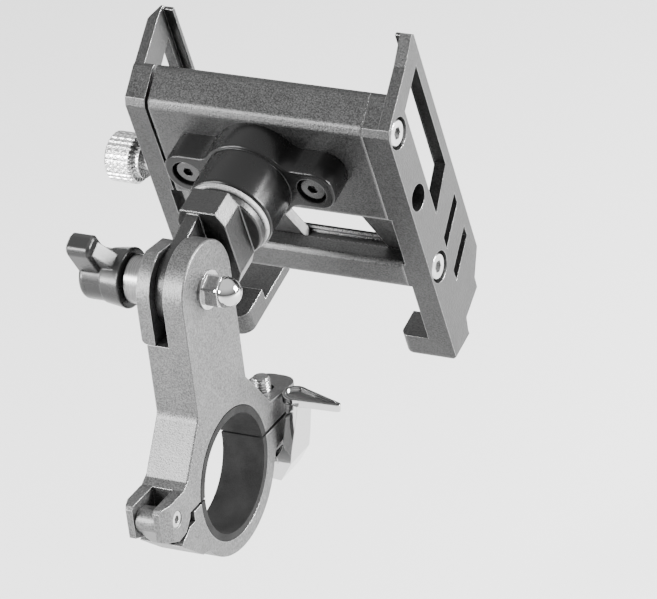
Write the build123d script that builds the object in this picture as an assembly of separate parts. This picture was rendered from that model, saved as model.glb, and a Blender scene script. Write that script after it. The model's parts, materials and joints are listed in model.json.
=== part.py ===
from build123d import *
import os
from math import sqrt

os.makedirs("parts", exist_ok=True)

# ---------------------------------------------------------------------------
# Bicycle phone mount, millimetres.
# +X runs along the handlebar, +Y towards the rider, +Z up the clamp's upright.
# The origin is on the handlebar's axis, half way along the clamp's width.
# The head tilts about the fork pivot: in the head's own frame x is along the
# bar, y is the swivel axis (towards the phone) and z runs up the head's back.
# ---------------------------------------------------------------------------

# Driving dimensions
BAR_RADIUS = 15.9            # 31.8 mm handlebar
LINER = 2.0                  # rubber liner thickness
WALL = 4.0                   # clamp ring wall
CLAMP_WIDTH = 12.4           # along the bar
HEAD_TILT = 16.0             # head leaning forward at rest, degrees
PIVOT_Y, PIVOT_Z = -0.8, 55.3
PHONE_TRAVEL = 30.0          # how far the left jaw slides out
BODY_LENGTH = 63.0           # back body, along x
BODY_CENTRE = 1.1            # middle of the back body, along x
JAW_GAP = 1.0                # gap at rest between the back body and the left jaw

# Clearances
STATIC_GAP = 0.02            # between pieces that are fixed together
RUNNING_GAP = 0.06           # round a turning or sliding shaft
CLAMP_GAP = 1.0              # between the clamp's halves when closed

# Threads
M3, M4, M5 = 1.5, 2.0, 2.5   # radii
PITCH = 0.8

half_width = CLAMP_WIDTH / 2
liner_inner = BAR_RADIUS + 0.05
bore = liner_inner + LINER
ring_outer = bore + WALL

PARTS = {}


# ---------------------------------------------------------------------------
# Helpers
# ---------------------------------------------------------------------------

def save(name, *solids):
    """Write one node, as one or more separate solids."""
    shape = solids[0] if len(solids) == 1 else Compound(children=list(solids))
    PARTS[name] = shape
    export_step(shape, f"parts/{name}.step")


def slab(points, x0, x1):
    """Polygon in the YZ plane, extruded from x0 to x1."""
    face = make_face(Polyline(*points, close=True))
    return extrude(Plane.YZ.offset(x0) * face, amount=x1 - x0)


def rod_x(radius, x0, x1, y=0.0, z=0.0):
    """Cylinder along x."""
    return Pos((x0 + x1) / 2, y, z) * Rot(0, 90, 0) * Cylinder(radius, x1 - x0)


def rod_y(radius, y0, y1, x=0.0, z=0.0):
    """Cylinder along y."""
    return Pos(x, (y0 + y1) / 2, z) * Rot(90, 0, 0) * Cylinder(radius, y1 - y0)


def rod_z(radius, z0, z1, x=0.0, y=0.0):
    """Cylinder along z."""
    return Pos(x, y, (z0 + z1) / 2) * Cylinder(radius, z1 - z0)


def block(x0, x1, y0, y1, z0, z1):
    """Box between two corners."""
    return Pos((x0 + x1) / 2, (y0 + y1) / 2, (z0 + z1) / 2) * Box(x1 - x0, y1 - y0, z1 - z0)


def hexagon(across_flats, length):
    """Hexagonal prism along z, centred."""
    return extrude(RegularPolygon(across_flats / sqrt(3), 6), amount=length / 2, both=True)


def threaded_rod(radius, length, depth=0.42):
    """Ridged rod along z from 0 to length, one ridge for each pitch."""
    turns = int(length / PITCH)
    points = [(0, 0), (radius - depth, 0)]
    for i in range(turns):
        z = i * PITCH
        points += [(radius, z + PITCH * 0.35), (radius, z + PITCH * 0.55), (radius - depth, z + PITCH * 0.95)]
    points += [(radius - depth, length), (0, length)]
    return revolve(Plane.XZ * make_face(Polyline(*points, close=True)), Axis.Z)


def along_x(part, x, y, z, towards=1):
    """Turn a part made along +z so that it points along +x or -x, then place it."""
    return Pos(x, y, z) * Rot(0, 90 * towards, 0) * part


def along_y(part, x, y, z, towards=1):
    """Turn a part made along +z so that it points along +y or -y, then place it."""
    return Pos(x, y, z) * Rot(-90 * towards, 0, 0) * part


def cap_screw(radius, head_radius, head_height, length, socket):
    """Socket screw: head on top of z = 0, shank below it."""
    head = Pos(0, 0, head_height / 2) * Cylinder(head_radius, head_height)
    head = chamfer(head.edges().group_by(Axis.Z)[-1], 0.5)
    recess = Pos(0, 0, head_height) * hexagon(socket, head_height * 1.2)
    shank = Pos(0, 0, -length) * threaded_rod(radius, length, 0.25)
    return head - recess + shank


# ---------------------------------------------------------------------------
# Clamp upright
# ---------------------------------------------------------------------------

EAR_RADIUS = 12.9            # fork ears, about the pivot
SLOT_LEFT, SLOT_RIGHT = -3.5, 0.4
SLOT_FLOOR = 44.2
CHEEK_LEFT = -7.3
SPLIT = 2.2                  # height of the upper half's parting faces
UPRIGHT_FRONT = PIVOT_Y - EAR_RADIUS
UPRIGHT_REAR = PIVOT_Y + EAR_RADIUS
EAR_TOP = 9.0                # rear ear
EAR_END = 38.9
EAR_FALL = 2.0               # how much lower the ear's top is at its far end
HINGE_Y, HINGE_Z = -30.3, 3.9
LUG_TOP, LUG_FRONT = 9.4, -36.6
LUG_SLOT = 3.0               # half width of the gap between the hinge lugs
STUD_Y = 29.0
STUD_SLOT = (-2.0, 0.8)      # the upper ear's hole is a slot, so that the stud can swing out


def clamp_upright():
    outline = [
        (UPRIGHT_FRONT, PIVOT_Z), (UPRIGHT_FRONT, 24.0), (-23.2, 10.6), (-25.4, LUG_TOP),
        (LUG_FRONT + 0.9, LUG_TOP), (LUG_FRONT, LUG_TOP - 0.9), (LUG_FRONT, 0.2), (-30.6, -2.4),
        (-26.8, -1.9), (-24.2, 0.8), (-23.7, SPLIT),
        (EAR_END - 1.2, SPLIT), (EAR_END, SPLIT + 1.0), (EAR_END, EAR_TOP - EAR_FALL),
        (22.4, EAR_TOP), (UPRIGHT_REAR, 22.5), (UPRIGHT_REAR, PIVOT_Z)]
    body = slab(outline, -half_width, half_width)
    body = fillet(body.edges().filter_by(Axis.X).filter_by(
        lambda e: abs(e.center().Y - UPRIGHT_FRONT) < 0.1 and abs(e.center().Z - 24.0) < 0.1), 4.0)
    body += rod_x(EAR_RADIUS, SLOT_RIGHT, half_width, PIVOT_Y, PIVOT_Z)
    body -= rod_x(bore, -20, 20)
    # room for the tongue and, left of it, for the separate cheek
    body -= block(-20, SLOT_RIGHT, -40, 40, SLOT_FLOOR, 90)
    # gap between the hinge lugs, and their chamfered outer corners
    body -= block(-LUG_SLOT, LUG_SLOT, -60, -25.6, -20, 30)
    body -= block(-LUG_SLOT, LUG_SLOT, -60, -20, -20, SPLIT)
    for side in (-1, 1):
        corner = [(side * 8, LUG_FRONT - 1), (side * 4.9, LUG_FRONT - 1), (side * 4.9, LUG_FRONT),
                  (side * half_width, LUG_FRONT + 3.6), (side * 8, LUG_FRONT + 3.6)]
        body -= extrude(Plane.XY.offset(-20) * make_face(Polyline(*corner, close=True)), amount=60)
    # rounded end of the rear ear
    ear_corners = body.edges().filter_by(Axis.Z).filter_by(lambda e: e.center().Y > EAR_END - 0.5)
    body = fillet(ear_corners, 5.0)
    # pivot, hinge and stud holes
    body -= rod_x(M5 + RUNNING_GAP, 0, 20, PIVOT_Y, PIVOT_Z)
    body -= rod_x(M3 + STATIC_GAP, -20, 20, HINGE_Y, HINGE_Z)
    body -= rod_x(2.3, half_width - 1.6, 20, HINGE_Y, HINGE_Z)
    hole = M5 + 0.3
    slot_start, slot_end = STUD_Y + STUD_SLOT[0], STUD_Y + STUD_SLOT[1]
    body -= rod_z(hole, 0, 20, 0, slot_start)
    body -= rod_z(hole, 0, 20, 0, slot_end)
    body -= block(-hole, hole, slot_start, slot_end, 0, 20)
    edges = body.edges().filter_by(lambda e: e.length > 9 and abs(abs(e.center().X) - half_width) < 0.01
                                   and e.center().Z > 11)
    return chamfer(edges, 0.35)


def pressure_cheek():
    cheek = rod_x(EAR_RADIUS, CHEEK_LEFT, SLOT_LEFT, PIVOT_Y, PIVOT_Z)
    cheek += block(CHEEK_LEFT, SLOT_LEFT, UPRIGHT_FRONT, UPRIGHT_REAR, SLOT_FLOOR, PIVOT_Z)
    cheek &= block(CHEEK_LEFT, SLOT_LEFT, -60, 60, SLOT_FLOOR + 0.12, 90)
    # flats across the top, each leaning back by its own angle
    for lean, distance in ((5.6, 11.3), (35.0, 11.1)):
        cheek -= Pos(0, PIVOT_Y, PIVOT_Z) * Rot(-lean, 0, 0) * block(-20, 20, -30, 30, distance, 30)
    cheek = fillet(cheek.edges().filter_by(Axis.Y).group_by(Axis.Z)[0].sort_by(Axis.X)[:1], 1.4)
    return cheek - rod_x(M5 + RUNNING_GAP, -20, 20, PIVOT_Y, PIVOT_Z)


def half_liner(upper):
    ring = rod_x(bore - STATIC_GAP, -half_width, half_width) - rod_x(liner_inner, -20, 20)
    edge = SPLIT - 0.2 if upper else SPLIT - CLAMP_GAP + 0.2
    keep = block(-20, 20, -40, 40, edge, 40) if upper else block(-20, 20, -40, 40, -40, edge)
    return ring & keep


def hinge_pin():
    pin = rod_x(M3, -half_width + 0.3, half_width - 1.6, HINGE_Y, HINGE_Z)
    pin += rod_x(2.2, half_width - 1.6, half_width - 0.2, HINGE_Y, HINGE_Z)
    return pin - along_x(hexagon(2.0, 2.4), half_width - 0.2, HINGE_Y, HINGE_Z)


save("clamp_upright", clamp_upright())
save("pressure_cheek", pressure_cheek())
save("upper_liner", half_liner(True))
save("hinge_pin", hinge_pin())

# ---------------------------------------------------------------------------
# Lower jaw of the clamp, its stud and the cam lever
# ---------------------------------------------------------------------------

JAW_TOP = SPLIT - CLAMP_GAP
JAW_EAR_BOTTOM = -4.5
JAW_EAR_END = 37.5
NOSE_RADIUS = 3.1            # rounded end of the arm that reaches between the hinge lugs
NOSE_Y, NOSE_Z = -33.2, 4.2
HINGE_RELIEF = 7.6           # the full width of the jaw stays this far from the hinge's axis
CAM_RADIUS = 5.2
CAM_THROW = 0.8
WASHER = 1.0
CAM_Z = JAW_EAR_BOTTOM - WASHER - CAM_RADIUS - CAM_THROW - 0.05
BARREL_RADIUS = 3.2
CAM_HALF = 5.4               # half width of the cam, along y
CAM_SLOT = 2.8               # half width of its slot
BLADE_X, BLADE_Z = 10.2, 8.5  # middle of the wide end of the handle's blade, on its top
BLADE_LENGTH = 12.2           # from there to the middle of its tip
BLADE_WIDE, BLADE_NARROW = 3.6, 0.9
BLADE_THICKNESS = 2.0
BLADE_DROOP = 6.3             # degrees


def clamp_lower_jaw():
    jaw = rod_x(ring_outer, -half_width, half_width)
    chin = [(-30.0, -4.6), (-20.5, -12.6), (-14, -14), (-14, -1.6), (-26.0, -1.6)]
    jaw += slab(chin, -half_width, half_width)
    jaw -= rod_x(HINGE_RELIEF, -20, 20, HINGE_Y, HINGE_Z)
    ear = [(10, JAW_EAR_BOTTOM - 6), (19.5, JAW_EAR_BOTTOM - 5), (22.5, JAW_EAR_BOTTOM),
           (JAW_EAR_END, JAW_EAR_BOTTOM), (JAW_EAR_END, 10), (10, 10)]
    jaw += slab(ear, -half_width, half_width)
    jaw -= block(-20, 20, -60, 60, JAW_TOP, 60)
    arm_half = LUG_SLOT - 0.25
    jaw += rod_x(NOSE_RADIUS, -arm_half, arm_half, NOSE_Y, NOSE_Z)
    arm = [(NOSE_Y - 0.3, NOSE_Z + NOSE_RADIUS), (HINGE_Y, HINGE_Z + 2.9), (-26.4, 1.2), (-20, JAW_TOP - 0.3),
           (-20, -5), (-26, -7.6), (-30.0, -4.6), (NOSE_Y - 2.6, NOSE_Z - 1.8)]
    jaw += slab(arm, -arm_half, arm_half)
    jaw -= rod_x(bore, -20, 20)
    jaw -= rod_x(M3 + RUNNING_GAP, -20, 20, HINGE_Y, HINGE_Z)
    jaw = fillet(jaw.edges().filter_by(Axis.Z).filter_by(lambda e: e.center().Y > 35), 4.5)
    return jaw - rod_z(M5 + 0.1, -30, 20, 0, STUD_Y)


def clamp_stud():
    bottom = CAM_Z - 1.2
    top = EAR_TOP + 2.8
    stud = Pos(0, STUD_Y, bottom) * threaded_rod(M5, top - bottom)
    return stud


def cam_washer():
    washer = rod_z(5.0, JAW_EAR_BOTTOM - WASHER, JAW_EAR_BOTTOM - STATIC_GAP, 0, STUD_Y)
    return washer - rod_z(M5 + 0.1, -30, 20, 0, STUD_Y)


def barrel_nut():
    nut = rod_y(BARREL_RADIUS, STUD_Y - CAM_HALF + 0.3, STUD_Y + CAM_HALF - 0.3, 0, CAM_Z)
    return nut - rod_z(M5 + STATIC_GAP, CAM_Z - 1.4, 20, 0, STUD_Y)


def leaf(wide, narrow, length):
    """Outline that narrows from one round end to a smaller one, along x."""
    taper = make_face(Polyline((0, -wide), (length, -narrow), (length, narrow), (0, wide), close=True))
    return taper + Circle(wide) + Pos(length, 0) * Circle(narrow)


def cam_lever():
    """Cam with a riser beside the ears and a pointed blade that runs out along the bar."""
    cam = rod_y(CAM_RADIUS, STUD_Y - CAM_HALF, STUD_Y + CAM_HALF, 0, CAM_Z + CAM_THROW)
    foot, shoulder = CAM_Z + 1.0, BLADE_Z - BLADE_THICKNESS
    outline = [(1.0, CAM_Z - 4.2), (5.4, CAM_Z - 4.6), (9.0, CAM_Z + 1.0), (12.4, shoulder - 1.0),
               (12.4, shoulder + 0.4), (8.9, shoulder + 0.8), (8.9, shoulder - 2.0), (7.0, CAM_Z + 5.5),
               (4.0, foot), (1.0, foot)]
    face = Plane.XZ.offset(-STUD_Y) * make_face(Polyline(*outline, close=True))
    riser = extrude(face, amount=CAM_HALF - 0.1, both=True)
    taper = [(STUD_Y - 5.3, -30), (STUD_Y + 5.3, -30), (STUD_Y + 5.3, CAM_Z + 5), (STUD_Y + 2.7, 20),
             (STUD_Y - 2.7, 20), (STUD_Y - 5.3, CAM_Z + 5)]
    riser &= slab(taper, 0, 30)
    # blade, with a shallow dish along its top
    blade = extrude(leaf(BLADE_WIDE, BLADE_NARROW, BLADE_LENGTH), amount=-BLADE_THICKNESS)
    blade -= extrude(leaf(BLADE_WIDE - 0.9, 0.4, BLADE_LENGTH - 0.8), amount=-0.6)
    blade = Pos(BLADE_X, STUD_Y, BLADE_Z) * Rot(0, BLADE_DROOP, 0) * blade
    lever = cam + riser + blade
    # slot for the stud, bore for the barrel nut
    slot = rod_y(CAM_RADIUS + 2.2, STUD_Y - CAM_SLOT, STUD_Y + CAM_SLOT, 0, CAM_Z)
    slot -= block(BARREL_RADIUS + 0.6, 40, 0, 60, -60, 60)
    lever -= slot
    return lever - rod_y(BARREL_RADIUS + RUNNING_GAP, 0, 60, 0, CAM_Z)


save("clamp_lower_jaw", clamp_lower_jaw())
save("lower_liner", half_liner(False))
save("clamp_stud", clamp_stud())
save("cam_washer", cam_washer())
save("barrel_nut", barrel_nut())
save("cam_lever", cam_lever())

# ---------------------------------------------------------------------------
# Tilt pivot: bolt, domed nut, collar and knob
# ---------------------------------------------------------------------------

COLLAR_RADIUS = 6.4
COLLAR_END = -15.4
KNOB_FACE = COLLAR_END - 0.1
BAR_RIGHT, BAR_LEFT = -21.4, -28.4   # ends of the finger lobe, along x
BAR_REACH, BAR_HALF = 16.0, 3.3      # how far the lobe reaches from the axis, and half its width
HUB_RADIUS = 6.9
BAR_TURN = -31.0             # how far the lobe is turned from upright
BOLT_END = -25.0
NUT_START = half_width + 0.8
NUT_LENGTH = 4.2
DOME_RADIUS = 4.0


def pivot_bolt():
    bolt = rod_x(M5, CHEEK_LEFT - 4, NUT_START + 0.2, PIVOT_Y, PIVOT_Z)
    thread_left = along_x(threaded_rod(M5, CHEEK_LEFT - 4 - BOLT_END), CHEEK_LEFT - 4, PIVOT_Y, PIVOT_Z, -1)
    thread_right = along_x(threaded_rod(M5, 5.6), NUT_START, PIVOT_Y, PIVOT_Z)
    return bolt + thread_left + thread_right


def cap_nut():
    base = Pos(0, 0, NUT_LENGTH / 2) * hexagon(8.0, NUT_LENGTH)
    base &= Pos(0, 0, NUT_LENGTH / 2) * Cylinder(4.45, NUT_LENGTH)
    dome = Pos(0, 0, NUT_LENGTH + 0.6) * Sphere(DOME_RADIUS)
    dome &= Pos(0, 0, NUT_LENGTH + 5) * Cylinder(DOME_RADIUS + 1, 10)
    nut = base + dome - Pos(0, 0, 2.85) * Cylinder(M5 + STATIC_GAP, 5.8)
    return along_x(nut, NUT_START, PIVOT_Y, PIVOT_Z)


def pivot_washer():
    washer = rod_x(5.2, half_width + STATIC_GAP, NUT_START - STATIC_GAP, PIVOT_Y, PIVOT_Z)
    return washer - rod_x(M5 + RUNNING_GAP, 0, 20, PIVOT_Y, PIVOT_Z)


def knob_collar():
    collar = rod_x(COLLAR_RADIUS, COLLAR_END, CHEEK_LEFT - STATIC_GAP, PIVOT_Y, PIVOT_Z)
    collar = chamfer(collar.edges().filter_by(GeomType.CIRCLE).sort_by(Axis.X)[:1], 0.5)
    return collar - rod_x(M5 + RUNNING_GAP, -30, 0, PIVOT_Y, PIVOT_Z)


def tension_knob():
    """Plastic knob with one finger lobe, drawn along +z from its hollow face at z = 0."""
    upright = (Align.CENTER, Align.CENTER, Align.MIN)
    barrel_length, length = KNOB_FACE - BAR_RIGHT, KNOB_FACE - BAR_LEFT
    barrel = Cone(8.1, HUB_RADIUS + 0.4, barrel_length, align=upright)
    barrel = fillet(barrel.edges().group_by(Axis.Z)[0], 0.5)
    hub = Pos(0, 0, barrel_length - 0.1) * Cylinder(HUB_RADIUS, length - barrel_length + 0.1, align=upright)
    hub = fillet(hub.edges().group_by(Axis.Z)[-1], 1.6)
    lobe_end = Pos(BAR_REACH / 2 - 2, 0) * RectangleRounded(BAR_REACH + 4, 2 * BAR_HALF, BAR_HALF * 0.72)
    lobe = Pos(0, 0, barrel_length) * extrude(lobe_end, amount=length - barrel_length)
    lobe = chamfer(lobe.edges().group_by(Axis.Z)[0] + lobe.edges().group_by(Axis.Z)[-1], 0.7)
    # gusset that carries the lobe
    gusset = [(0, barrel_length + 0.9), (0, 2.2), (7.4, 2.2), (BAR_REACH - 1.6, barrel_length + 0.9)]
    web = extrude(Plane.XZ * make_face(Polyline(*gusset, close=True)), amount=2.2, both=True)
    knob = barrel + hub + lobe + web
    knob -= Pos(0, 0, -0.1) * Cylinder(4.0 + STATIC_GAP, 10.1, align=upright)
    return along_x(Rot(0, 0, BAR_TURN) * knob, KNOB_FACE, PIVOT_Y, PIVOT_Z, -1)


def knob_insert():
    insert = rod_x(4.0, KNOB_FACE - 9.9, KNOB_FACE, PIVOT_Y, PIVOT_Z)
    return insert - rod_x(M5 + RUNNING_GAP, -60, 0, PIVOT_Y, PIVOT_Z)


save("pivot_bolt", pivot_bolt())
save("cap_nut", cap_nut())
save("pivot_washer", pivot_washer())
save("knob_collar", knob_collar())
save("tension_knob", tension_knob())
save("knob_insert", knob_insert())

# ---------------------------------------------------------------------------
# Head frame: pieces from here on are drawn with y along the swivel axis and
# z up the head's back, both measured from the pivot, then tilted into place.
# ---------------------------------------------------------------------------

HEAD = Pos(0, PIVOT_Y, PIVOT_Z) * Rot(HEAD_TILT, 0, 0)

SHOULDER = 14.2              # front of the yoke's block
DISC = 22.5                  # back of the block, front of its disc
DISC_THICKNESS = 2.3
RING_THICKNESS = 1.3
BOSS_END = DISC + DISC_THICKNESS + RING_THICKNESS + 0.05
BOSS_RADIUS = 12.1
FLANGE = 38.6                # front of the neck's flange
BACK = 47.4                  # back face of the head's body
SPINDLE_RADIUS = 5.0
POCKET = 41.6                # floor of the pocket behind the spindle


def save_head(name, *solids):
    save(name, *[HEAD * solid for solid in solids])


def tilt_yoke():
    clearance = 0.2
    x0, x1 = SLOT_LEFT + clearance, SLOT_RIGHT - clearance
    tongue = rod_x(10.6, x0, x1)
    tongue += slab([(2.5, -10.3), (SHOULDER + 1, -11.4), (SHOULDER + 1, 11.8), (2.5, 10.3)], x0, x1)
    half, top, bottom, slope = 7.0, 12.6, -12.2, 4.0
    outline = [(-half, bottom + slope), (-half, top - slope), (-half + 1.9, top), (half - 1.9, top),
               (half, top - slope), (half, bottom + slope), (half - 1.9, bottom), (-half + 1.9, bottom)]
    face = make_face(Polyline(*outline, close=True))
    block_part = extrude(Plane.XZ.offset(-SHOULDER) * face, amount=-(DISC - SHOULDER))
    disc = rod_y(10.9, DISC - 0.01, DISC + DISC_THICKNESS)
    disc = chamfer(disc.edges().filter_by(GeomType.CIRCLE).sort_by(Axis.Y)[:1], 0.4)
    spindle = rod_y(SPINDLE_RADIUS, DISC, POCKET)
    yoke = tongue + block_part + disc + spindle
    yoke -= rod_x(M5 + 1.0, -20, 20)
    yoke -= rod_y(M4 - 0.2 + 0.25, POCKET - 9, POCKET + 1)
    return yoke


def pivot_sleeve():
    sleeve = rod_x(M5 + 1.0 - STATIC_GAP, SLOT_LEFT + 0.25, SLOT_RIGHT - 0.25)
    return sleeve - rod_x(M5 + RUNNING_GAP, -20, 20)


def friction_ring():
    start = DISC + DISC_THICKNESS + STATIC_GAP
    ring = rod_y(11.6, start, start + RING_THICKNESS)
    ring = chamfer(ring.edges().filter_by(GeomType.CIRCLE).sort_by(Axis.Y)[:1], 0.3)
    return ring - rod_y(SPINDLE_RADIUS + STATIC_GAP, 0, 80)


def neck_housing():
    flange = RectangleRounded(49.6, 12.4, 5.4) + Circle(BOSS_RADIUS + 0.9)
    inner = flange.vertices().filter_by(lambda v: abs(abs(v.Y) - 6.2) < 0.01 and abs(v.X) < 14)
    flange = fillet(inner, 5.0)
    plate = extrude(Plane.XZ.offset(-FLANGE) * flange, amount=-(BACK - STATIC_GAP - FLANGE))
    rim = plate.edges().filter_by(lambda e: abs(e.center().Y - FLANGE) < 0.01)
    plate = fillet(rim, 0.7)
    boss = rod_y(BOSS_RADIUS, BOSS_END, FLANGE + 1)
    boss = fillet(boss.edges().filter_by(GeomType.CIRCLE).sort_by(Axis.Y)[:1], 0.9)
    neck = plate + boss
    neck -= rod_y(SPINDLE_RADIUS + RUNNING_GAP, 0, 60)
    neck -= rod_y(8.2, POCKET, 60)
    for side in (-1, 1):
        neck -= rod_y(M4 + STATIC_GAP, 0, 60, side * NECK_SCREW_X)
        neck -= rod_y(4.2, 0, FLANGE + 3.4, side * NECK_SCREW_X)
    return neck


NECK_SCREW_X = 18.4


def neck_screw(side):
    screw = cap_screw(M4 - 0.02, 3.8, 2.6, 11.0, 2.6)
    return along_y(screw, side * NECK_SCREW_X, FLANGE + 3.4 - STATIC_GAP, 0, -1)


def swivel_washer():
    washer = rod_y(7.4, POCKET + STATIC_GAP, POCKET + 1.0)
    return washer - rod_y(M4 + 0.1, 0, 60)


def swivel_screw():
    screw = cap_screw(M4, 3.5, 2.6, 8.0, 2.6)
    return along_y(screw, 0, POCKET + 1.0 + STATIC_GAP, 0)


save_head("tilt_yoke", tilt_yoke())
save_head("pivot_sleeve", pivot_sleeve())
save_head("friction_ring", friction_ring())
save_head("swivel_washer", swivel_washer())
save_head("swivel_screw", swivel_screw())
save_head("neck_housing", neck_housing())
save_head("neck_screws", neck_screw(-1), neck_screw(1))

# ---------------------------------------------------------------------------
# Head: body, crossbeam and jaws
# ---------------------------------------------------------------------------

BODY_FRONT = 57.3            # phone side of the body
BODY_BOTTOM, BODY_KNEE, BODY_TOP = -16.2, 14.4, 20.0
BEAM_BOTTOM, BEAM_TOP = -40.4, -32.3
SCREW_Y = 52.2               # jaw screws, guide rods and lead screw
UPPER_Z, LOWER_Z, LEAD_Z = 11.6, -36.4, -11.2
body_left = BODY_CENTRE - BODY_LENGTH / 2
body_right = BODY_CENTRE + BODY_LENGTH / 2

RIGHT_DEPTH, RIGHT_PLATE = 7.9, 3.3
LEFT_DEPTH, LEFT_PLATE = 5.9, 2.9
PLATE_BOTTOM = -63.4
FOOT_TOP, FOOT_BOTTOM = -59.8, -67.3
LEFT_DROP = 3.3              # how much lower the left jaw's foot and openings sit
LEFT_FRONT, RIGHT_FRONT = 73.3, 71.5
LIP_THICKNESS = 1.1
ROD_RADIUS = 2.0
ROD_LENGTH = 42.0
SLIDE_Y0, SLIDE_Y1 = 53.0, 56.0
GROOVE = 1.6                 # groove that guides the sliding plate
body_section = [(BACK, BODY_BOTTOM), (BODY_FRONT, BODY_BOTTOM), (BODY_FRONT, BODY_TOP),
                (BODY_FRONT - 1.2, BODY_TOP), (BACK + 1.0, BODY_KNEE + 1.2), (BACK, BODY_KNEE - 0.8)]


def back_body():
    body = slab(body_section, body_left, body_right)
    knee = body.edges().filter_by(Axis.X).filter_by(
        lambda e: abs(e.center().Y - BACK) < 1.1 and e.center().Z > 10)
    body = fillet(knee, 1.0)
    body -= rod_x(M5 + 0.3, -60, 60, SCREW_Y, LEAD_Z)
    body -= rod_x(4.0 + STATIC_GAP, body_left - 1, body_left + 9, SCREW_Y, LEAD_Z)
    body -= rod_x(ROD_RADIUS + RUNNING_GAP, body_left - 1, body_left + ROD_LENGTH, SCREW_Y, UPPER_Z)
    body -= rod_x(M4 + STATIC_GAP, body_right - 12, body_right + 1, SCREW_Y, UPPER_Z)
    for side in (-1, 1):
        body -= rod_y(M4 + STATIC_GAP, BACK - 1, BACK + 8.4, side * NECK_SCREW_X)
    return body


def lead_nut():
    nut = rod_x(4.0, body_left + 0.2, body_left + 8.8, SCREW_Y, LEAD_Z)
    return nut - rod_x(M5 + RUNNING_GAP, -60, 60, SCREW_Y, LEAD_Z)


def crossbeam():
    beam = block(body_left, body_right, BACK, BODY_FRONT - 0.6, BEAM_BOTTOM, BEAM_TOP)
    beam = chamfer(beam.edges().filter_by(Axis.X).filter_by(
        lambda e: e.center().Y < BACK + 1 and e.center().Z > BEAM_TOP - 1), 1.0)
    # groove that guides the sliding plate
    beam -= block(-60, 60, SLIDE_Y0 - 0.2, SLIDE_Y1 + 0.2, BEAM_TOP - GROOVE, 0)
    beam -= rod_x(ROD_RADIUS + RUNNING_GAP, body_left - 1, body_left + ROD_LENGTH, SCREW_Y, LOWER_Z)
    beam -= rod_x(M4 + STATIC_GAP, body_right - 12, body_right + 1, SCREW_Y, LOWER_Z)
    return beam


def jaw(depth, plate, front, drop, tip, lip, foot):
    """Right-hand jaw, with its inner end at x = 0 and its outer face at x = depth.

    front is the plate's front edge, drop how much lower its openings and foot sit, tip the
    outline's upper corners, lip the reach of its front lip and foot the solid it stands on."""
    inner = depth - plate
    outline = [(BACK, PLATE_BOTTOM - drop), (56.4, PLATE_BOTTOM - 0.6 - drop), (57.3, -60.2 - drop),
               (66.1, -57.4 - drop), (66.3, -54.0 - drop), (front, -47.4 - drop)] + tip
    outline += [(BACK + 1.0, BODY_KNEE + 1.3), (BACK, BODY_KNEE - 0.8)]
    part = slab(outline, inner, depth)
    part += block(inner - lip, inner + 0.1, front - LIP_THICKNESS, front, -47.0 - drop, tip[0][1])
    # end cap over the body's end, the flange down the back edge and the end of the crossbeam
    part += slab(body_section, 0, depth)
    part += block(1.0, depth, BACK, BACK + 4.6, PLATE_BOTTOM - drop, BODY_BOTTOM)
    part += block(0, depth, BACK, BODY_FRONT - 0.6, BEAM_BOTTOM, BEAM_TOP)
    part += foot
    part -= Pos(depth, 0, FOOT_BOTTOM - drop) * Rot(0, 45, 0) * Box(2.6, 200, 2.6)
    # openings through the plate
    rear, ahead = front - 13.7, front - 3.0
    window = [(ahead, 20.6 - drop), (rear, 14.2 - drop), (rear, -22.4 - drop), (ahead, -14.4 - drop)]
    slots = [[(ahead, top - drop), (ahead, top - 3.7 - drop), (rear, top - 10.1 - drop), (rear, top - 6.4 - drop)]
             for top in (-24.9, -36.8)]
    for hole in [window] + slots:
        part -= slab(hole, inner - 5, depth + 5)
    return part


def right_jaw():
    foot = block(RIGHT_DEPTH - 15.3, RIGHT_DEPTH, BACK, 56.4, FOOT_BOTTOM, FOOT_TOP)
    foot = fillet(foot.edges().filter_by(Axis.Z).filter_by(
        lambda e: e.center().X < 0 and e.center().Y < BACK + 1), 2.2)
    foot = fillet(foot.edges().filter_by(Axis.Y).filter_by(
        lambda e: e.center().X < 0 and e.center().Z < FOOT_TOP - 1), 1.6)
    tip = [(RIGHT_FRONT, 28.6), (RIGHT_FRONT - 1.0, 29.4), (63.4, 24.2)]
    part = jaw(RIGHT_DEPTH, RIGHT_PLATE, RIGHT_FRONT, 0.0, tip, 1.7, foot)
    part -= rod_x(3.7, -1, 20, SCREW_Y, LEAD_Z)
    for z in (UPPER_Z, LOWER_Z):
        part -= rod_x(M4 + STATIC_GAP, -1, 20, SCREW_Y, z)
        part -= rod_x(4.4, RIGHT_DEPTH - 3.2, 20, SCREW_Y, z)
    return Pos(body_right + STATIC_GAP, 0, 0) * part


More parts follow.
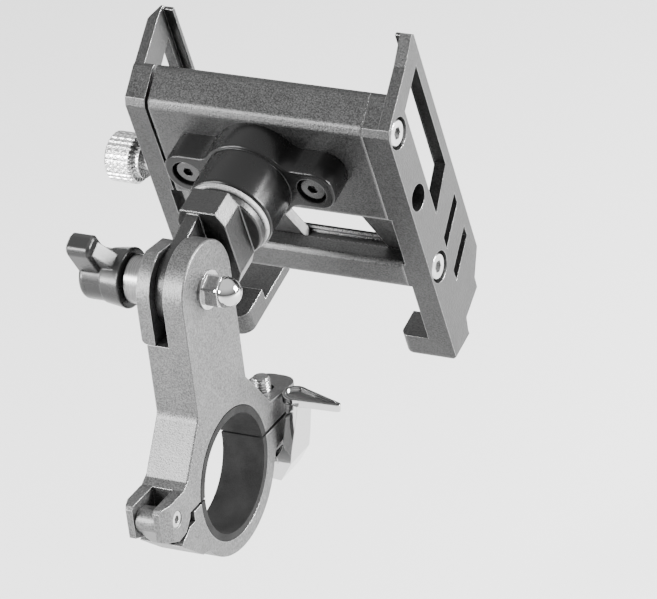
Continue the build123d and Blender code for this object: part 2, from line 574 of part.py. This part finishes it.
def left_jaw():
    top, bottom = FOOT_TOP - LEFT_DROP, FOOT_BOTTOM - LEFT_DROP + 1.0
    # foot, with a low prong that runs forwards under the phone
    profile = [(BACK, top), (BACK, bottom), (LEFT_FRONT, bottom), (LEFT_FRONT, bottom + 3.0),
               (58.7, bottom + 3.0), (58.7, top)]
    foot = slab(profile, LEFT_DEPTH - 14.5, LEFT_DEPTH - LEFT_PLATE + 0.1)
    foot += block(LEFT_DEPTH - LEFT_PLATE, LEFT_DEPTH, BACK, 58.7, bottom, top)
    foot = fillet(foot.edges().filter_by(Axis.Z).filter_by(
        lambda e: e.center().X < 0 and e.center().Y < BACK + 1), 3.4)
    tip = [(LEFT_FRONT, 25.8), (72.6, 26.7), (69.0, 25.9)]
    part = jaw(LEFT_DEPTH, LEFT_PLATE, LEFT_FRONT, LEFT_DROP, tip, 2.8, foot)
    # facet that takes the outer corner off the tip
    facet = Plane(origin=(LEFT_DEPTH, 68.2, 25.6), z_dir=(44.0, 19.8, 12.9))
    part = split(part, facet, keep=Keep.BOTTOM)
    part = mirror(part, Plane.YZ)
    part -= rod_x(3.0 + RUNNING_GAP, -20, 1, SCREW_Y, LEAD_Z)
    part -= rod_x(4.2, -1.8, 1, SCREW_Y, LEAD_Z)
    for z in (UPPER_Z, LOWER_Z):
        part -= rod_x(ROD_RADIUS + STATIC_GAP, -3.4, 1, SCREW_Y, z)
        part -= rod_x(M3 + STATIC_GAP, -20, 1, SCREW_Y, z)
        part -= rod_x(3.1, -20, -LEFT_DEPTH + 1.9, SCREW_Y, z)
    return Pos(body_left - JAW_GAP, 0, 0) * part


def jaw_screw(z):
    screw = cap_screw(M4, 3.8, 2.8, 10.0, 3.0)
    return along_x(screw, body_right + RIGHT_DEPTH - 3.2 + 2 * STATIC_GAP, SCREW_Y, z)


def guide_rod(z):
    start = body_left - JAW_GAP - 3.4 + STATIC_GAP
    rod = rod_x(ROD_RADIUS, start, start + ROD_LENGTH, SCREW_Y, z)
    return rod - rod_x(M3 + STATIC_GAP, start - 1, start + 7.6, SCREW_Y, z)


def rod_screw(z):
    screw = cap_screw(M3, 2.9, 1.8, 8.0, 2.0)
    return along_x(screw, body_left - JAW_GAP - LEFT_DEPTH + 1.9 - STATIC_GAP, SCREW_Y, z, -1)


def slide_plate():
    """Plate on the sliding jaw whose lower edge runs in the crossbeam's groove."""
    inner = body_left - JAW_GAP + STATIC_GAP
    top, bottom = BODY_BOTTOM - 0.5, BEAM_TOP - GROOVE + 0.2
    outline = [(inner, top), (-7.6, top), (1.6, bottom), (inner, bottom)]
    face = make_face(Polyline(*outline, close=True))
    return extrude(Plane.XZ.offset(-SLIDE_Y0) * face, amount=-(SLIDE_Y1 - SLIDE_Y0))


def fixed_gusset():
    top, bottom = BODY_BOTTOM - STATIC_GAP, BEAM_TOP - GROOVE + STATIC_GAP
    outline = [(17.8, top), (body_right, top), (body_right, bottom), (26.8, bottom)]
    face = make_face(Polyline(*outline, close=True))
    return extrude(Plane.XZ.offset(-SLIDE_Y0) * face, amount=-(SLIDE_Y1 - SLIDE_Y0))


def pad(z0, z1, y0):
    part = block(body_left + 4, body_right - 4, y0 + STATIC_GAP, y0 + 1.6, z0, z1)
    return fillet(part.edges().filter_by(Axis.Y), 1.5)


rod_heights = (UPPER_Z, LOWER_Z)
save_head("back_body", back_body())
save_head("lead_nut", lead_nut())
save_head("crossbeam", crossbeam())
save_head("beam_gusset", fixed_gusset())
save_head("right_jaw", right_jaw())
save_head("right_jaw_screws", *[jaw_screw(z) for z in rod_heights])
save_head("body_pad", pad(-12.0, 16.0, BODY_FRONT))
save_head("beam_pad", pad(BEAM_BOTTOM + 1, BEAM_TOP - 1, BODY_FRONT - 0.6))
save_head("left_jaw", left_jaw())
save_head("slide_plate", slide_plate())
save_head("guide_rods", *[guide_rod(z) for z in rod_heights])
save_head("left_jaw_screws", *[rod_screw(z) for z in rod_heights])

# ---------------------------------------------------------------------------
# Thumb screw
# ---------------------------------------------------------------------------

JAW_OUTER = body_left - JAW_GAP - LEFT_DEPTH
KNURL_COUNT = 28


def lead_screw():
    neck = rod_x(3.0, JAW_OUTER - 3.0, JAW_OUTER + LEFT_DEPTH - 2.4, SCREW_Y, LEAD_Z)
    groove = rod_x(3.5, JAW_OUTER + LEFT_DEPTH - 1.7, JAW_OUTER + LEFT_DEPTH - 1.0, SCREW_Y, LEAD_Z)
    groove -= rod_x(2.0, -80, 80, SCREW_Y, LEAD_Z)
    start = JAW_OUTER + LEFT_DEPTH - 2.4
    thread = along_x(threaded_rod(M5, 27.0 - start), start, SCREW_Y, LEAD_Z)
    stem = rod_x(2.2, JAW_OUTER - 10.0, JAW_OUTER - 3.0, SCREW_Y, LEAD_Z)
    return neck + thread + stem - groove


def thumb_knob():
    start, length, radius = JAW_OUTER - 4.5, 8.2, 6.8
    knob = Cylinder(radius, length, align=(Align.CENTER, Align.CENTER, Align.MIN))
    knob = chamfer(knob.edges().filter_by(GeomType.CIRCLE), 0.7)
    tooth = Pos(radius + 0.35, 0, 0) * Rot(0, 0, 45) * Box(1.0, 1.0, 3 * length)
    for i in range(KNURL_COUNT):
        knob -= Rot(0, 0, 360 * i / KNURL_COUNT) * tooth
    knob += Pos(0, 0, -1.5) * Cylinder(5.0, 1.6, align=(Align.CENTER, Align.CENTER, Align.MIN))
    knob -= Pos(0, 0, -2) * Cylinder(2.2 + STATIC_GAP, 7.6, align=(Align.CENTER, Align.CENTER, Align.MIN))
    return along_x(knob, start, SCREW_Y, LEAD_Z, -1)


def retaining_clip():
    x0 = JAW_OUTER + LEFT_DEPTH - 1.65
    clip = rod_x(3.9, x0, x0 + 0.6, SCREW_Y, LEAD_Z) - rod_x(2.0 + STATIC_GAP, -80, 80, SCREW_Y, LEAD_Z)
    return clip - block(-80, 80, SCREW_Y - 1.2, SCREW_Y + 1.2, LEAD_Z, LEAD_Z + 9)


save_head("lead_screw", lead_screw())
save_head("thumb_knob", thumb_knob())
save_head("retaining_clip", retaining_clip())

print(len(PARTS), "nodes")
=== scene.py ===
"""Looks of a bicycle phone mount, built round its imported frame."""

import json
from math import pi

import bpy
from mathutils import Matrix, Vector


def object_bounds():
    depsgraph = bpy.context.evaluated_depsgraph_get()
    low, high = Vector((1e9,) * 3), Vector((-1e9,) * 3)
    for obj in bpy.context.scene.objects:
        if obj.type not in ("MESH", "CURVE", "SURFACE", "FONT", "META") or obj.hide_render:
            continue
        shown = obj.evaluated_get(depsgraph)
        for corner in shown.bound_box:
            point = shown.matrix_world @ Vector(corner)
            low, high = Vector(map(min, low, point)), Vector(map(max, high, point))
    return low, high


MM = 0.001

# Camera, in the object's frame
CAMERA_PLACE = (0.6312, -0.9943, 0.6876)
CAMERA_RIGHT = (0.8840, 0.4541, -0.1116)
CAMERA_FORWARD = (-0.4482, 0.7550, -0.4787)
CAMERA_LENS = 286.9     # mm
SENSOR_WIDTH = 36.0     # mm

# Studio floor. Its gap below the clamp clears the opened lower jaw and lever.
FLOOR_GAP = 56 * MM
FLOOR_SIZE = 12.0
FLOOR_SHADE = 0.70
FLOOR_MOTTLE = 0.01
FLOOR_MOTTLE_SIZE = 0.4
FLOOR_ROUGHNESS = 0.9

# World light: its strength at the horizon and overhead, and the heights it runs between
HORIZON_STRENGTH = 0.25
ZENITH_STRENGTH = 1.7
HORIZON_HEIGHT = 0.05
ZENITH_HEIGHT = 0.75

# Softboxes: name, place from the object's middle (m), width, height (m), power (W)
SOFTBOXES = (
    ("key_light", (-0.50, -0.80, 0.40), 0.30, 0.26, 17.0),
    ("left_light", (-0.40, -0.40, 0.05), 0.20, 0.12, 6.0),
    ("right_light", (0.72, 0.34, 0.26), 0.35, 0.35, 44.0),
)

# Blasted finishes. Shades are linear; the edge shade is a painted highlight along the edges.
BLASTED = {
    "clamp_aluminium": dict(shade=0.100, grain=0.40 * MM, contrast=0.30, roughness=0.42,
                            edge_highlight_shade=0.30, edge_radius=0.30 * MM),
    "head_aluminium": dict(shade=0.045, grain=0.42 * MM, contrast=0.26, roughness=0.38,
                           edge_highlight_shade=0.30, edge_radius=0.35 * MM),
    "body_aluminium": dict(shade=0.050, grain=0.42 * MM, contrast=0.26, roughness=0.36,
                           edge_highlight_shade=0.13, edge_radius=1.30 * MM),
    "yoke_aluminium": dict(shade=0.038, grain=0.40 * MM, contrast=0.14, roughness=0.34,
                           edge_highlight_shade=0.12, edge_radius=0.70 * MM),
}
BLASTED_METALLIC = 0.85
DARKEST_GRAIN = 0.3      # times the shade
LIGHTEST_GRAIN = 1.7     # times the shade
MOTTLE_SIZE = 9 * MM
MOTTLE = 0.06
PIT_DEPTH = 0.08 * MM
PIT_STRENGTH = 0.8
PIT_ROUGHNESS = (-0.06, 0.08)
WORN_ROUGHNESS = -0.10

# Nodes whose finish is its own version of their slot's
OWN_LOOKS = {
    "back_body": "body_aluminium",
    "crossbeam": "body_aluminium",
    "tilt_yoke": "yoke_aluminium",
    "neck_screws": "black_steel",
    "thumb_knob": "knurled_silver",
}

# Knurling of the thumb screw's knob: its axis (y, z), its turns and its pitch
KNURL_AXIS = (52.464 * MM, 58.922 * MM)
KNURL_COUNT = 26
KNURL_PITCH = 2.2 * MM
KNURL_DEPTH = 0.09 * MM
KNURL_SPAN = (-1.0, 0.5)       # of the lower of two sines, from a groove to a peak

BRASS_DARK = (0.52, 0.37, 0.13)
BRASS_LIGHT = (0.72, 0.55, 0.24)

# Noise and bevel nodes
NOISE_SPAN = (0.3, 0.7)        # where nearly all of a noise's values fall
EDGE_SPAN = (0.80, 0.99)       # cosines between the true and the rounded normal
EDGE_SAMPLES = 6


# ---------------------------------------------------------------------------
# Node helpers
# ---------------------------------------------------------------------------

class Look:
    """A node material with a Principled shader and short ways to feed it."""

    def __init__(self, name):
        self.material = bpy.data.materials.new(name)
        self.material.use_nodes = True
        self.nodes = self.material.node_tree.nodes
        self.links = self.material.node_tree.links
        self.shader = self.nodes["Principled BSDF"]
        self.place = self.nodes.new("ShaderNodeTexCoord").outputs["Object"]

    def set(self, **values):
        """Set shader inputs, with _ for the spaces in their names."""
        for key, value in values.items():
            self.shader.inputs[key.replace("_", " ")].default_value = value

    def feed(self, key, socket):
        self.links.new(socket, self.shader.inputs[key])

    def noise(self, size, detail, stretch=(1, 1, 1)):
        """Noise whose lumps are about size across, in metres."""
        mapping = self.nodes.new("ShaderNodeMapping")
        mapping.inputs["Scale"].default_value = stretch
        self.links.new(self.place, mapping.inputs["Vector"])
        node = self.nodes.new("ShaderNodeTexNoise")
        node.inputs["Scale"].default_value = 1.0 / size
        node.inputs["Detail"].default_value = detail
        self.links.new(mapping.outputs["Vector"], node.inputs["Vector"])
        return node.outputs["Fac"]

    def remap(self, socket, low, high, span=NOISE_SPAN):
        """Map the socket's values, which run over span, to low .. high."""
        node = self.nodes.new("ShaderNodeMapRange")
        node.inputs["From Min"].default_value = span[0]
        node.inputs["From Max"].default_value = span[1]
        node.inputs["To Min"].default_value = low
        node.inputs["To Max"].default_value = high
        self.links.new(socket, node.inputs["Value"])
        return node.outputs["Result"]

    def math(self, operation, first, second=0.0):
        """A maths node on two sockets or numbers."""
        node = self.nodes.new("ShaderNodeMath")
        node.operation = operation
        for socket, value in zip(node.inputs, (first, second)):
            if isinstance(value, (int, float)):
                socket.default_value = value
            else:
                self.links.new(value, socket)
        return node.outputs["Value"]

    def mix(self, socket, low, high):
        """Colour that runs from low to high, each a socket or a colour, as socket runs from 0 to 1."""
        node = self.nodes.new("ShaderNodeMix")
        node.data_type = "RGBA"
        for key, value in (("A", low), ("B", high)):
            if isinstance(value, tuple):
                node.inputs[key].default_value = (*value, 1.0)
            else:
                self.links.new(value, node.inputs[key])
        self.links.new(socket, node.inputs["Factor"])
        return node.outputs["Result"]

    def tint(self, noise, darkest, lightest):
        """Base colour that follows a noise."""
        self.feed("Base Color", self.mix(self.remap(noise, 0.0, 1.0), darkest, lightest))

    def gloss(self, noise, smoothest, roughest):
        """Roughness that follows a noise."""
        self.feed("Roughness", self.remap(noise, smoothest, roughest))

    def rounding(self, radius):
        """Normal that rounds the edges."""
        node = self.nodes.new("ShaderNodeBevel")
        node.samples = EDGE_SAMPLES
        node.inputs["Radius"].default_value = radius
        return node.outputs["Normal"]

    def edge_highlight_mask(self, rounded):
        """Mask that is 1 where the rounded normal leaves the true one, along the edges; it places the
        painted edge highlight.
        """
        true_normal = self.nodes.new("ShaderNodeNewGeometry").outputs["Normal"]
        dot = self.nodes.new("ShaderNodeVectorMath")
        dot.operation = "DOT_PRODUCT"
        self.links.new(rounded, dot.inputs[0])
        self.links.new(true_normal, dot.inputs[1])
        return self.remap(dot.outputs["Value"], 1.0, 0.0, EDGE_SPAN)

    def edge_highlighted_colour(self, rounded, colour, painted_edge_highlight):
        """Base colour that turns from colour to a painted highlight along the edges."""
        self.feed("Base Color", self.mix(self.edge_highlight_mask(rounded), colour, painted_edge_highlight))

    def bump(self, height, normal, depth, strength):
        """Raise the surface by up to depth where height is 1, over the given normal."""
        node = self.nodes.new("ShaderNodeBump")
        node.inputs["Strength"].default_value = strength
        node.inputs["Distance"].default_value = depth
        self.links.new(height, node.inputs["Height"])
        self.links.new(normal, node.inputs["Normal"])
        self.feed("Normal", node.outputs["Normal"])


def grey(value):
    return (value, value, value)


# ---------------------------------------------------------------------------
# Materials
# ---------------------------------------------------------------------------

def blasted_aluminium(name, shade, grain, contrast, roughness, edge_highlight_shade, edge_radius):
    """Bead-blasted, anodised aluminium: fine grain, slow mottling, and a painted highlight along the
    edges.
    """
    look = Look(name)
    fine = look.noise(size=grain, detail=1.0)
    slow = look.noise(size=MOTTLE_SIZE, detail=3.0)
    speckle = look.remap(fine, -contrast, contrast)
    mottle = look.remap(slow, -MOTTLE, MOTTLE)
    blend = look.math("ADD", look.math("ADD", speckle, mottle), 0.5)
    colour = look.mix(blend, grey(shade * DARKEST_GRAIN), grey(shade * LIGHTEST_GRAIN))
    normal = look.rounding(radius=edge_radius)
    painted_edge_highlight = look.edge_highlight_mask(normal)
    # Painted highlight: along the edges the colour turns lighter, to the edge shade.
    look.feed("Base Color", look.mix(painted_edge_highlight, colour, grey(edge_highlight_shade)))
    pitted = look.remap(fine, roughness + PIT_ROUGHNESS[0], roughness + PIT_ROUGHNESS[1])
    polished = look.math("MULTIPLY", painted_edge_highlight, WORN_ROUGHNESS)
    look.feed("Roughness", look.math("ADD", pitted, polished))
    look.set(Metallic=BLASTED_METALLIC)
    look.bump(fine, normal, depth=PIT_DEPTH, strength=PIT_STRENGTH)
    return look.material


def black_anodised():
    """Smooth semi-gloss black, with faint handling marks."""
    look = Look("black_anodised")
    marks = look.noise(size=5 * MM, detail=4.0)
    fine = look.noise(size=0.22 * MM, detail=1.0)
    normal = look.rounding(radius=0.5 * MM)
    # Painted highlight: the black turns lighter along the edges.
    look.edge_highlighted_colour(normal, grey(0.005), painted_edge_highlight=grey(0.02))
    look.gloss(marks, smoothest=0.20, roughest=0.30)
    look.set(Specular_IOR_Level=0.2)
    look.bump(fine, normal, depth=0.015 * MM, strength=0.4)
    return look.material


def black_plastic():
    """Moulded knob plastic: satin, slightly orange-peeled."""
    look = Look("black_plastic")
    peel = look.noise(size=0.9 * MM, detail=3.0)
    patches = look.noise(size=7 * MM, detail=2.0)
    normal = look.rounding(radius=0.6 * MM)
    # Painted highlight: the black turns lighter along the edges.
    look.edge_highlighted_colour(normal, grey(0.010), painted_edge_highlight=grey(0.03))
    look.gloss(patches, smoothest=0.22, roughest=0.32)
    look.set(Specular_IOR_Level=0.3)
    look.bump(peel, normal, depth=0.03 * MM, strength=0.35)
    return look.material


def grey_washer():
    """Pressed friction material: dull, gritty grey."""
    look = Look("grey_washer")
    grit = look.noise(size=0.35 * MM, detail=3.0)
    look.tint(grit, darkest=grey(0.10), lightest=grey(0.38))
    look.set(Roughness=0.62, Metallic=0.3)
    normal = look.rounding(radius=0.25 * MM)
    look.bump(grit, normal, depth=0.08 * MM, strength=0.8)
    return look.material


def rubber():
    """Matte black rubber with a fine moulded grain and dusty patches."""
    look = Look("rubber")
    grain = look.noise(size=0.3 * MM, detail=2.0)
    dust = look.noise(size=6 * MM, detail=4.0)
    look.tint(dust, darkest=grey(0.005), lightest=grey(0.013))
    look.gloss(grain, smoothest=0.75, roughest=0.92)
    look.set(Specular_IOR_Level=0.15)
    normal = look.rounding(radius=0.3 * MM)
    look.bump(grain, normal, depth=0.06 * MM, strength=0.7)
    return look.material


def chrome():
    """Polished chrome with barely visible polishing waves."""
    look = Look("chrome")
    wave = look.noise(size=4 * MM, detail=2.0)
    look.gloss(wave, smoothest=0.04, roughest=0.09)
    look.set(Base_Color=(*grey(0.46), 1.0), Metallic=1.0)
    normal = look.rounding(radius=0.3 * MM)
    look.bump(wave, normal, depth=0.02 * MM, strength=0.3)
    return look.material


def steel():
    """Bright plated fasteners with turned marks."""
    look = Look("steel")
    turned = look.noise(size=0.25 * MM, detail=2.0, stretch=(0.25, 1, 1))
    stains = look.noise(size=2.5 * MM, detail=3.0)
    look.tint(stains, darkest=grey(0.36), lightest=grey(0.56))
    look.gloss(turned, smoothest=0.14, roughest=0.26)
    look.set(Metallic=1.0)
    normal = look.rounding(radius=0.2 * MM)
    look.bump(turned, normal, depth=0.012 * MM, strength=0.5)
    return look.material


def black_steel():
    """Black-oxide screws with a glossy skin."""
    look = Look("black_steel")
    turned = look.noise(size=0.25 * MM, detail=2.0)
    look.tint(turned, darkest=grey(0.045), lightest=grey(0.085))
    look.gloss(turned, smoothest=0.16, roughest=0.28)
    look.set(Metallic=1.0)
    normal = look.rounding(radius=0.2 * MM)
    look.bump(turned, normal, depth=0.012 * MM, strength=0.5)
    return look.material


def silver_aluminium():
    """Satin silver: turned along x, so its brush lines run round the part."""
    look = Look("silver_aluminium")
    brushed = look.noise(size=0.5 * MM, detail=2.0, stretch=(3.0, 0.15, 0.15))
    normal = look.rounding(radius=0.25 * MM)
    look.tint(brushed, darkest=grey(0.12), lightest=grey(0.19))
    look.gloss(brushed, smoothest=0.24, roughest=0.36)
    look.set(Metallic=1.0)
    look.bump(brushed, normal, depth=0.012 * MM, strength=0.5)
    return look.material


def knurled_silver():
    """The silver finish with crossed knurling round the thumb screw's knob."""
    look = Look("knurled_silver")
    split = look.nodes.new("ShaderNodeSeparateXYZ")
    look.links.new(look.place, split.inputs["Vector"])
    along, across, upward = split.outputs
    turn = look.math("ARCTAN2", look.math("SUBTRACT", upward, KNURL_AXIS[1]),
                     look.math("SUBTRACT", across, KNURL_AXIS[0]))
    turn = look.math("MULTIPLY", turn, KNURL_COUNT)
    climb = look.math("MULTIPLY", along, 2 * pi / KNURL_PITCH)
    right_handed = look.math("SINE", look.math("ADD", turn, climb))
    left_handed = look.math("SINE", look.math("SUBTRACT", turn, climb))
    peaks = look.remap(look.math("MINIMUM", right_handed, left_handed), 0.0, 1.0, KNURL_SPAN)
    # Painted shade and highlight: the colour is darker in the knurl's grooves and lighter on its
    # peaks.
    look.feed("Base Color", look.mix(peaks, grey(0.30), grey(0.62)))
    look.set(Metallic=1.0, Roughness=0.26)
    normal = look.rounding(radius=0.25 * MM)
    look.bump(peaks, normal, depth=KNURL_DEPTH, strength=0.7)
    return look.material


def brass():
    """Turned brass inserts."""
    look = Look("brass")
    turned = look.noise(size=0.4 * MM, detail=2.0, stretch=(3.0, 0.3, 0.3))
    look.tint(turned, darkest=BRASS_DARK, lightest=BRASS_LIGHT)
    look.gloss(turned, smoothest=0.2, roughest=0.34)
    look.set(Metallic=1.0)
    return look.material


MAKERS = (black_anodised, black_plastic, grey_washer, rubber, chrome, steel, black_steel,
          silver_aluminium, knurled_silver, brass)


def dress(frame):
    """Give every CAD node the material of its slot, or its own version of it."""
    materials = {name: blasted_aluminium(name, **values) for name, values in BLASTED.items()}
    materials.update((maker.__name__, maker()) for maker in MAKERS)
    slots = {part["node"]: part["material_slot"] for part in frame["record"]["subparts"]}
    for name, node in frame["nodes"].items():
        material = materials[OWN_LOOKS.get(name, slots[name])]
        if not node.material_slots:
            node.data.materials.append(material)
        for slot in node.material_slots:
            slot.material = material


# ---------------------------------------------------------------------------
# Studio
# ---------------------------------------------------------------------------

def floor(height):
    bpy.ops.mesh.primitive_plane_add(size=FLOOR_SIZE, location=(0, 0, height))
    plane = bpy.context.object
    plane.name = "studio_floor"
    look = Look("studio_floor")
    mottle = look.noise(size=FLOOR_MOTTLE_SIZE, detail=1.0)
    dark, light = grey(FLOOR_SHADE - FLOOR_MOTTLE), grey(FLOOR_SHADE + FLOOR_MOTTLE)
    look.feed("Base Color", look.mix(mottle, dark, light))
    look.set(Roughness=FLOOR_ROUGHNESS)
    plane.data.materials.append(look.material)


def softbox(name, place, target, width, height, power):
    """Area light at place that shines at target and isn't seen itself."""
    light = bpy.data.lights.new(name, "AREA")
    light.shape = "RECTANGLE"
    light.size = width
    light.size_y = height
    light.energy = power
    lamp = bpy.data.objects.new(name, light)
    lamp.location = place
    lamp.rotation_euler = (target - place).to_track_quat("-Z", "Y").to_euler()
    lamp.visible_camera = False
    bpy.context.scene.collection.objects.link(lamp)


def sky():
    """World light that is bright overhead and falls off towards the horizon."""
    world = bpy.data.worlds.new("studio")
    world.use_nodes = True
    nodes, links = world.node_tree.nodes, world.node_tree.links
    direction = nodes.new("ShaderNodeTexCoord").outputs["Generated"]
    split = nodes.new("ShaderNodeSeparateXYZ")
    links.new(direction, split.inputs["Vector"])
    ramp = nodes.new("ShaderNodeMapRange")
    ramp.inputs["From Min"].default_value = HORIZON_HEIGHT
    ramp.inputs["From Max"].default_value = ZENITH_HEIGHT
    ramp.inputs["To Min"].default_value = HORIZON_STRENGTH
    ramp.inputs["To Max"].default_value = ZENITH_STRENGTH
    links.new(split.outputs["Z"], ramp.inputs["Value"])
    background = nodes["Background"]
    background.inputs["Color"].default_value = (*grey(1.0), 1.0)
    links.new(ramp.outputs["Result"], background.inputs["Strength"])
    bpy.context.scene.world = world


def studio(low, high):
    """Floor, softboxes and world light round the box low .. high."""
    middle = (low + high) / 2
    floor(low.z - FLOOR_GAP)
    for name, offset, width, height, power in SOFTBOXES:
        softbox(name, middle + Vector(offset), middle, width, height, power)
    sky()


def camera():
    forward = Vector(CAMERA_FORWARD).normalized()
    right = Vector(CAMERA_RIGHT)
    right = (right - forward * right.dot(forward)).normalized()
    up = right.cross(forward)
    data = bpy.data.cameras.new("camera")
    data.sensor_width = SENSOR_WIDTH
    data.lens = CAMERA_LENS
    viewer = bpy.data.objects.new("camera", data)
    axes = Matrix((right, up, -forward)).transposed().to_4x4()
    viewer.matrix_world = Matrix.Translation(CAMERA_PLACE) @ axes
    bpy.context.scene.collection.objects.link(viewer)
    bpy.context.scene.camera = viewer


# ---------------------------------------------------------------------------

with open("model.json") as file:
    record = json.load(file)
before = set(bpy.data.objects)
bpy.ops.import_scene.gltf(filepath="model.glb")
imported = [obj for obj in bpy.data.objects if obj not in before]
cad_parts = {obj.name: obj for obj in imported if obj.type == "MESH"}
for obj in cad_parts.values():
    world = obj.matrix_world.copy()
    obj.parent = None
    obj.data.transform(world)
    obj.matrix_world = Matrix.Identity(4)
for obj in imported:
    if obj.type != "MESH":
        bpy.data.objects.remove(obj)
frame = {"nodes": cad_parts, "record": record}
cad_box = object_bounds()
dress(frame)
studio(Vector(cad_box[0]), Vector(cad_box[1]))
camera()
